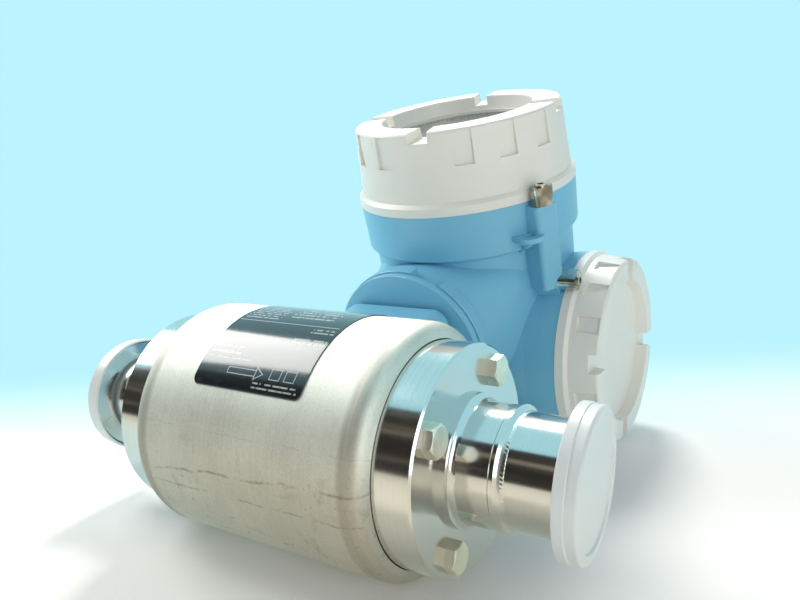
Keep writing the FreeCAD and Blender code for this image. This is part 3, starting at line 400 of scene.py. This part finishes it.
def plain_steel(name, low, high, rough=0.30):
    """Rolled, forged or cast stainless with a light all-over grain."""
    finish = Finish(name)
    grain = finish.noise(finish.place(), 1400.0)
    cloud = finish.noise(finish.place(), 90.0, detail=3.0)
    colour = finish.mix(cloud.step(0.3, 0.7), rgba(low), rgba(high))
    return finish.surface({
        "Base Color": colour, "Metallic": 1.0, "Roughness": rough + (grain - 0.5) * 0.06,
        "Normal": finish.bump(grain, 0.06, 0.00002)})


def castings(name, colour, shade, rough, peel_scale, depth):
    """Powder coat over a casting: orange peel, faint clouds, soft gloss."""
    finish = Finish(name)
    peel = finish.noise(finish.place(), peel_scale)
    cloud = finish.noise(finish.place(), 18.0, detail=3.0)
    tint = finish.mix(cloud.step(0.3, 0.7), rgba(shade), rgba(colour))
    return finish.surface({
        "Base Color": tint, "Roughness": rough + (peel - 0.5) * 0.12, "Coat Weight": 0.15,
        "Coat Roughness": 0.25, "Normal": finish.bump(peel, 0.25, depth)})


def moulded(name, colour, rough, fleck=0.06, bump=0.1, extra=None):
    """Moulded plastic, rubber or enamel with a fine grain."""
    finish = Finish(name)
    grain = finish.noise(finish.place(), 1500.0)
    cloud = finish.noise(finish.place(), 60.0, detail=3.0)
    dark = tuple(c * (1 - fleck) for c in colour)
    inputs = {
        "Base Color": finish.mix(cloud, rgba(dark), rgba(colour)), "Roughness": rough + grain * 0.08,
        "Normal": finish.bump(grain, bump, 0.00003)}
    inputs.update(extra or {})
    return finish.surface(inputs)


# --------------------------------------------------------------- rating plate
def text_block(finish, u, v, box, pitch):
    """Rows of generic dashes inside box (u low, u high, v low, v high).  Row
    n covers the middle of pitch * n to pitch * (n + 1), and a noise along the
    row cuts it into words."""
    u_low, u_high, v_low, v_high = box
    row = (v - v_low) / pitch
    inside = u.between(u_low, u_high, 0.2) * v.between(v_low, v_high, 0.05)
    stroke = row.rest().between(0.30, 0.62, 0.06)
    words = finish.join(u * 0.55, row.whole() * 3.7, u_low)
    letters = finish.join(u * 3.6, row.whole() * 5.1, 2.0)
    word = finish.noise(words, scale=1.0, detail=1.0).step(0.40, 0.46)
    letter = finish.noise(letters, scale=1.0, detail=1.0).step(0.36, 0.44)
    return inside * stroke * word * letter


def rule_line(u, v, u_low, u_high, v_at, width):
    """Level rule of the given width, from u_low to u_high at height v_at."""
    return u.between(u_low, u_high, 0.1) * v.band(v_at, width / 2, 0.08)


def frame_line(u, v, box, width):
    """Outline of a rectangle: inside the outer edge, outside the inner one."""
    u_low, u_high, v_low, v_high = box
    outer = u.between(u_low, u_high, 0.05) * v.between(v_low, v_high, 0.05)
    inner = (u.between(u_low + width, u_high - width, 0.05)
             * v.between(v_low + width, v_high - width, 0.05))
    return outer - inner


def flow_arrow(u, v, tail, neck, tip, v_at, half, width):
    """Outlined arrow.  Its half height is half along the shaft and falls in
    a straight line from 2 * half at neck to 0 at tip."""
    height = abs(v - v_at)
    shaft = u.between(tail, neck, 0.05) * height.step(half + 0.05, half - 0.05)
    inner = half - width
    hollow = (u.between(tail + width, neck + width, 0.05)
              * height.step(inner + 0.05, inner - 0.05))
    slope = (tip - u) * (2 * half / (tip - neck))
    head = u.between(neck, tip, 0.02) * (slope - height).step(-0.05, 0.05)
    core = u.between(neck + width, tip, 0.02) * (slope - height - width * 1.5).step(-0.05, 0.05)
    whole = (shaft + head).clamped()
    return whole - (hollow * (1.0 - head) + core).clamped() * whole


def plate_print(finish, ink):
    """Pale print of the plate.  u runs along the pipe and v round the drum
    from the plate's centre line, both in millimetres."""
    x, y, z = finish.parts(finish.local(PIPE, UPRIGHT))
    u = x * MM
    v = z.angle_to(-y) * PLATE_RADIUS_MM
    marks = [rule_line(u, v, u_low, u_high, v_at, ink) for u_low, u_high, v_at in PLATE_RULES]
    marks += [text_block(finish, u, v, box, pitch) for box, pitch in PLATE_TEXT]
    marks += [frame_line(u, v, box, ink) for box in PLATE_BOXES]
    marks.append(flow_arrow(u, v, tail=-14.0, neck=3.0, tip=8.0, v_at=-35.0, half=1.7, width=ink))
    return sum(marks).clamped()


def rating_plate(settings):
    """Glossy black enamel with pale print and a worn, dusty surface."""
    finish = Finish("plate enamel")
    marks = plate_print(finish, settings.rule * MM)
    dust = finish.noise(finish.place(), 300.0, detail=4.0, roughness=0.7).step(0.50, 0.75)
    ground = finish.mix(dust * 0.25, rgba(PLATE_ENAMEL), rgba(PLATE_DUST))
    colour = finish.mix(marks * 0.72, ground, rgba(PLATE_INK))
    return finish.surface({
        "Base Color": colour, "Roughness": 0.13 + dust * 0.08 + marks * 0.25,
        "Coat Weight": 0.6, "Coat Roughness": 0.10})


# ------------------------------------------------------------------ settings
def tint(name, description, colour):
    """Setting that holds one linear colour."""
    return bpy.props.FloatVectorProperty(
        name=name, description=description, size=3, subtype="COLOR", default=colour, min=0, max=1)


class StageSettings(bpy.types.PropertyGroup):
    """Camera, lamps and floor."""
    eye: bpy.props.FloatVectorProperty(
        name="Eye", description="Place of the camera", size=3, subtype="TRANSLATION", unit="LENGTH",
        default=(0.2348, -0.37365, 0.19336))
    turn: bpy.props.FloatVectorProperty(
        name="Turn", description="Turn of the camera", size=3, subtype="EULER", unit="ROTATION",
        default=tuple(math.radians(a) for a in (79.108, 2.722, 32.931)))
    lens: bpy.props.FloatProperty(
        name="Lens", description="Focal length in millimetres on a 36 mm frame", default=33.32, min=5)
    key_power: bpy.props.FloatProperty(
        name="Key lamp", description="Strength of the soft box on the left, in watts", default=9.5, min=0)
    rim_power: bpy.props.FloatProperty(
        name="Rim lamp", description="Strength of the soft box behind, in watts", default=14.0, min=0)
    fill_power: bpy.props.FloatProperty(
        name="Fill lamp", description="Strength of the soft box in front, in watts", default=5.5, min=0)
    room: bpy.props.FloatProperty(
        name="Room", description="Level of the even light from all round", default=0.41, min=0)
    near_floor: tint("Near floor", "Colour of the floor under the meter", (0.93, 0.92, 0.90))
    far_floor: tint("Far wall", "Colour of the backdrop", (0.50, 0.90, 1.0))
    low_mirror: tint("Floor in steel", "Colour of the floor as bright steel mirrors it", (0.84, 0.78, 0.64))
    dark_mirror: tint(
        "Room in steel", "Colour of the dim room as bright steel mirrors it", (0.034, 0.031, 0.026))
    dim_mirror: tint("Lamps in steel", "Colour of lit places in that room", (0.34, 0.30, 0.23))


class SteelSettings(bpy.types.PropertyGroup):
    """Colours of the stainless pieces."""
    satin_low: tint("Satin, dark", "Darker grain of the drum", (0.70, 0.67, 0.60))
    satin_high: tint("Satin, light", "Lighter grain of the drum", (0.85, 0.825, 0.75))
    bright_low: tint("Bright, dark", "Darker rings of the turned pieces", (0.60, 0.60, 0.58))
    bright_high: tint("Bright, light", "Lighter rings of the turned pieces", (0.80, 0.80, 0.79))
    tan: tint("Tan", "Heat tint beside the rolled ends", (0.30, 0.25, 0.19))
    bolt_low: tint("Bolts, dark", "Darker clouds of the bolts", (0.78, 0.74, 0.62))
    bolt_high: tint("Bolts, light", "Lighter clouds of the bolts", (0.92, 0.88, 0.77))
    # smudge is also the colour of the painted shade on the drum's underside.
    smudge: tint("Smudge", "Rubbed and scratched places", (0.26, 0.24, 0.19))


class PaintSettings(bpy.types.PropertyGroup):
    """Colours of the coated castings."""
    blue: tint("Blue", "Coat of the housing", (0.195, 0.515, 0.71))
    blue_shade: tint("Blue, clouds", "Darker clouds in the blue coat", (0.18, 0.49, 0.68))
    white: tint("White", "Coat of the screw covers", (0.83, 0.81, 0.75))
    white_shade: tint("White, clouds", "Darker clouds in the white coat", (0.80, 0.78, 0.72))


class PrintSettings(bpy.types.PropertyGroup):
    """Print of the rating plate and the weld beads."""
    rule: bpy.props.FloatProperty(
        name="Rule", description="Width of a printed rule", default=0.0004, unit="LENGTH", min=0.0001)
    bead: bpy.props.FloatProperty(
        name="Bead", description="Width of a weld bead", default=0.0026, unit="LENGTH", min=0.0005)


GROUPS = {
    "meter_stage": StageSettings, "meter_steel": SteelSettings,
    "meter_paint": PaintSettings, "meter_print": PrintSettings,
}


# --------------------------------------------------------------------- stage
def sweep_points(near, far, height, bend, half_width):
    """Floor that bends up into a wall.  Along u the section is a straight
    floor, a quarter circle of radius bend and a straight wall; v is across."""
    floor = np.stack([np.linspace(near, far, 12), np.zeros(12)], axis=-1)
    arc = np.linspace(0, math.pi / 2, 17)[1:]
    curve = np.stack([far + bend * np.sin(arc), bend - bend * np.cos(arc)], axis=-1)
    wall = np.stack([np.full(6, far + bend), np.linspace(bend, height, 7)[1:]], axis=-1)
    section = np.vstack([floor, curve, wall])
    across = np.linspace(-half_width, half_width, 9)
    points = np.empty((len(section), len(across), 3))
    points[..., 0] = across
    points[..., 1] = section[:, :1]
    points[..., 2] = section[:, 1:]
    return points


class DressStage(bpy.types.Operator):
    """Camera, floor, soft boxes and room light."""
    bl_idname = "meter.stage"
    bl_label = "Studio"

    def execute(self, context):
        settings = context.scene.meter_stage
        self.camera(context, settings)
        self.floor(context, settings)
        for name, (power, place, aim, size) in LAMPS.items():
            self.lamp(context, name, getattr(settings, power), place, aim, size)
        self.dim_room(context, settings)
        self.room(context, settings)
        context.scene.view_settings.view_transform = "Standard"
        return {"FINISHED"}

    def camera(self, context, settings):
        data = bpy.data.cameras.new("studio camera")
        data.lens = settings.lens
        data.sensor_width = 36.0
        data.clip_start = 0.01
        camera = bpy.data.objects.new("studio camera", data)
        camera.location = settings.eye
        camera.rotation_euler = Euler(settings.turn)
        context.scene.collection.objects.link(camera)
        context.scene.camera = camera

    def lamp(self, context, name, power, place, aim, size):
        data = bpy.data.lights.new(name, "AREA")
        data.energy = power
        data.size = size
        data.color = LAMP_COLOUR
        lamp = bpy.data.objects.new(name, data)
        lamp.location = place
        way = Vector(aim) - Vector(place)
        lamp.rotation_euler = way.to_track_quat("-Z", "Y").to_euler()
        context.scene.collection.objects.link(lamp)

    def floor(self, context, settings):
        points = sweep_points(near=-2.6, far=1.6, height=2.6, bend=0.8, half_width=4.0)
        turn = settings.turn[2]
        across = points[..., 0] * math.cos(turn) - points[..., 1] * math.sin(turn)
        away = points[..., 0] * math.sin(turn) + points[..., 1] * math.cos(turn)
        turned = np.stack([across, away, points[..., 2]], axis=-1)
        mesh = sheet_mesh("studio floor", turned)
        floor = bpy.data.objects.new("studio floor", mesh)
        mesh.materials.append(self.floor_paint(settings))
        context.scene.collection.objects.link(floor)

    def dim_room(self, context, settings):
        """Upright card behind the camera that only bright steel mirrors."""
        behind = -1.5
        across, height = np.meshgrid((-3.2, 1.6), (0.0, 2.5), indexing="ij")
        points = np.stack([across, np.full_like(across, behind), height], axis=-1)
        card = bpy.data.objects.new("dim room", sheet_mesh("dim room", points))
        finish = Finish("dim room")
        mirrored = finish.node("ShaderNodeLightPath")["Is Glossy Ray"]
        clear = finish.node("ShaderNodeBsdfTransparent")["BSDF"]
        place = finish.stretched(finish.place(), (0.5, 1.0, 2.2))
        glimmer = finish.noise(place, 1.6, detail=4.0, roughness=0.6).step(0.46, 0.72)
        colour = finish.mix(glimmer, rgba(settings.dark_mirror), rgba(settings.dim_mirror))
        dark = finish.node("ShaderNodeEmission", None, {"Color": colour})["Emission"]
        finish.blend(mirrored, clear, dark)
        card.data.materials.append(finish.owner)
        context.scene.collection.objects.link(card)

    def floor_paint(self, settings):
        """White under the meter, pale blue behind; camera and mirror rays
        see the backdrop at its own colour, the floor keeps its shadow."""
        finish = Finish("studio floor")
        place = finish.place()
        lift = 0.35                 # how far height counts as distance
        mirror_lead = 0.18          # mirrors meet the backdrop this much sooner
        own_light = 0.04            # least share of own colour in what is seen
        turn = settings.turn[2]
        away = (-math.sin(turn), math.cos(turn), lift)
        along = finish.node(
            "ShaderNodeVectorMath", {"operation": "DOT_PRODUCT"}, {0: place, 1: away})["Value"]
        x, y, _ = finish.parts(place)
        outside = (x * x + y * y).root().step(0.45, 1.2)
        paths = finish.node("ShaderNodeLightPath")
        mirrored = paths["Is Glossy Ray"]
        far = (along + mirrored * mirror_lead).step(-0.05, 0.28)
        near = finish.mix(mirrored, rgba(settings.near_floor), rgba(settings.low_mirror))
        colour = finish.mix(far, near, rgba(settings.far_floor))
        glow = finish.node("ShaderNodeEmission", None, {"Color": colour, "Strength": 1.0})["Emission"]
        matt = finish.node("ShaderNodeBsdfDiffuse", None, {"Color": colour})["BSDF"]
        share = own_light + far.at_least(outside) * (1.0 - own_light)
        finish.blend(finish.seen(paths) * share, matt, glow)
        return finish.owner

    def room(self, context, settings):
        world = context.scene.world or bpy.data.worlds.new("studio room")
        context.scene.world = world
        finish = Finish("studio room", world)
        glow = finish.node("ShaderNodeBackground", None, {
            "Color": rgba(settings.far_floor), "Strength": 1.0})["Background"]
        light = finish.node("ShaderNodeBackground", None, {
            "Color": rgba(ROOM_COLOUR), "Strength": settings.room})["Background"]
        finish.blend(finish.seen(finish.node("ShaderNodeLightPath")), light, glow)


# ------------------------------------------------------------------ dressing
class DressSteel(bpy.types.Operator):
    """Drum, pipe ends, bolts and clamps in stainless steel."""
    bl_idname = "meter.steel"
    bl_label = "Stainless steel"

    def execute(self, context):
        steel = context.scene.meter_steel
        dress(blasted_steel(steel), "drum_shell")
        dress(turned_steel(steel), "inlet_connection", "outlet_connection", "inlet_ferrule",
              "outlet_ferrule")
        dress(plain_steel("bolt steel", steel.bolt_low, steel.bolt_high, rough=0.46), "inlet_bolts",
              "outlet_bolts", "earth_screw")
        dress(plain_steel("cast clamp steel", steel.smudge, steel.bright_high, rough=0.16),
              "display_clamp", "terminal_clamp")
        dress(plain_steel("screw steel", steel.satin_low, steel.satin_high, rough=0.22), "clamp_screws",
              "window_retainer")
        dress(plain_steel("inner steel", steel.satin_low, steel.satin_high, rough=0.35), "measuring_tube",
              "inlet_end_ring", "outlet_end_ring", "electrodes")
        return {"FINISHED"}


class DressPaint(bpy.types.Operator):
    """Blue coat of the castings and white coat of the screw covers."""
    bl_idname = "meter.paint"
    bl_label = "Coated castings"

    def execute(self, context):
        paint = context.scene.meter_paint
        blue = castings("blue powder coat", paint.blue, paint.blue_shade, rough=0.36, peel_scale=420.0,
                        depth=0.00012)
        dress(blue, "transmitter_housing", "sensor_neck", "swivel_ring")
        white = castings("white powder coat", paint.white, paint.white_shade, rough=0.42, peel_scale=380.0,
                         depth=0.00010)
        dress(white, "display_cover", "terminal_cover")
        return {"FINISHED"}


class DressPlastics(bpy.types.Operator):
    """Caps, seals, liner, gland and plugs."""
    bl_idname = "meter.plastics"
    bl_label = "Plastics and rubber"

    def execute(self, context):
        milky = {"Subsurface Weight": 0.35, "Subsurface Radius": (0.004, 0.004, 0.004),
                 "Coat Weight": 0.1}
        dress(moulded("milky cap", (0.72, 0.75, 0.74), rough=0.28, fleck=0.03, bump=0.05,
                      extra=milky), "inlet_cap", "outlet_cap")
        dress(moulded("black seal rubber", (0.02, 0.02, 0.02), rough=0.55), "display_cover_seal",
              "terminal_cover_seal", "inlet_face_seal", "outlet_face_seal")
        dress(moulded("white liner", (0.80, 0.80, 0.77), rough=0.35), "tube_liner")
        dress(moulded("black gland plastic", (0.03, 0.03, 0.032), rough=0.42), "cable_gland",
              "entry_plugs")
        dress(rating_plate(context.scene.meter_print), "nameplate")
        return {"FINISHED"}


class DressInside(bpy.types.Operator):
    """Window, display, electronics and magnet parts."""
    bl_idname = "meter.inside"
    bl_label = "Inner parts"

    def execute(self, context):
        steel = context.scene.meter_steel
        dress(self.glass(), "window_glass")
        # The bezel's pale blue-grey, lighter and bluer than its own grey, is a painted reflection of the
        # pale blue surroundings in the window glass.
        dress(moulded("display bezel", (0.66, 0.74, 0.77), rough=0.45), "display_module")
        dress(moulded("display panel", (0.16, 0.20, 0.17), rough=0.12, fleck=0.02, bump=0.02),
              "display_screen")
        dress(moulded("potting", (0.03, 0.03, 0.035), rough=0.5), "electronics_module")
        dress(moulded("circuit board", (0.03, 0.14, 0.06), rough=0.35), "terminal_board")
        dress(moulded("terminal green", (0.05, 0.22, 0.09), rough=0.40), "terminal_block")
        dress(plain_steel("terminal screw", steel.satin_low, steel.satin_high, rough=0.25),
              "terminal_screws")
        dress(moulded("enamelled wire", (0.35, 0.11, 0.03), rough=0.30, fleck=0.2, bump=0.2),
              "upper_coil", "lower_coil")
        dress(moulded("laminated iron", (0.10, 0.10, 0.11), rough=0.50, fleck=0.2, bump=0.2),
              "pole_cores", "return_yoke")
        return {"FINISHED"}

    def glass(self):
        finish = Finish("window glass")
        haze = finish.noise(finish.place(), 40.0)
        return finish.surface({
            "Base Color": (0.95, 0.97, 0.97, 1.0), "Roughness": 0.03 + haze * 0.04,
            "Transmission Weight": 1.0, "IOR": 1.45})


class AddWelds(bpy.types.Operator):
    """Weld bead between each pipe stub and its ferrule."""
    bl_idname = "meter.welds"
    bl_label = "Weld beads"

    def execute(self, context):
        settings = context.scene.meter_print
        steel = context.scene.meter_steel
        metal = plain_steel("weld steel", steel.satin_low, steel.bright_high, rough=0.22)
        for end in ("inlet", "outlet"):
            low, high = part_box(end + "_connection")
            x = high.x if end == "outlet" else low.x
            mesh = weld_bead(x, PIPE_RADIUS, settings.bead, WELD_HEIGHT, WELD_RIPPLES)
            add_piece(end + "_weld_bead", mesh, metal, "sensor")
        return {"FINISHED"}


class MeterPanel(bpy.types.Panel):
    """Lists the steps in the sidebar."""
    bl_idname = "VIEW3D_PT_meter"
    bl_label = "Flow meter"
    bl_space_type = "VIEW_3D"
    bl_region_type = "UI"
    bl_category = "Flow meter"

    def draw(self, context):
        for group in GROUPS:
            box = self.layout.box()
            settings = getattr(context.scene, group)
            for key in settings.__annotations__:
                box.prop(settings, key)
        for step in STEPS:
            self.layout.operator(step.bl_idname)


STEPS = (DressStage, DressSteel, DressPaint, DressPlastics, DressInside, AddWelds)


def register():
    for group in GROUPS.values():
        bpy.utils.register_class(group)
    for name, group in GROUPS.items():
        setattr(bpy.types.Scene, name, bpy.props.PointerProperty(type=group))
    for step in STEPS:
        bpy.utils.register_class(step)
    bpy.utils.register_class(MeterPanel)


def unregister():
    bpy.utils.unregister_class(MeterPanel)
    for step in reversed(STEPS):
        bpy.utils.unregister_class(step)
    for name in GROUPS:
        delattr(bpy.types.Scene, name)
    for group in GROUPS.values():
        bpy.utils.unregister_class(group)


def main():
    register()
    for step in STEPS:
        family, name = step.bl_idname.split(".")
        getattr(getattr(bpy.ops, family), name)()


if __name__ == "__main__":
    main()
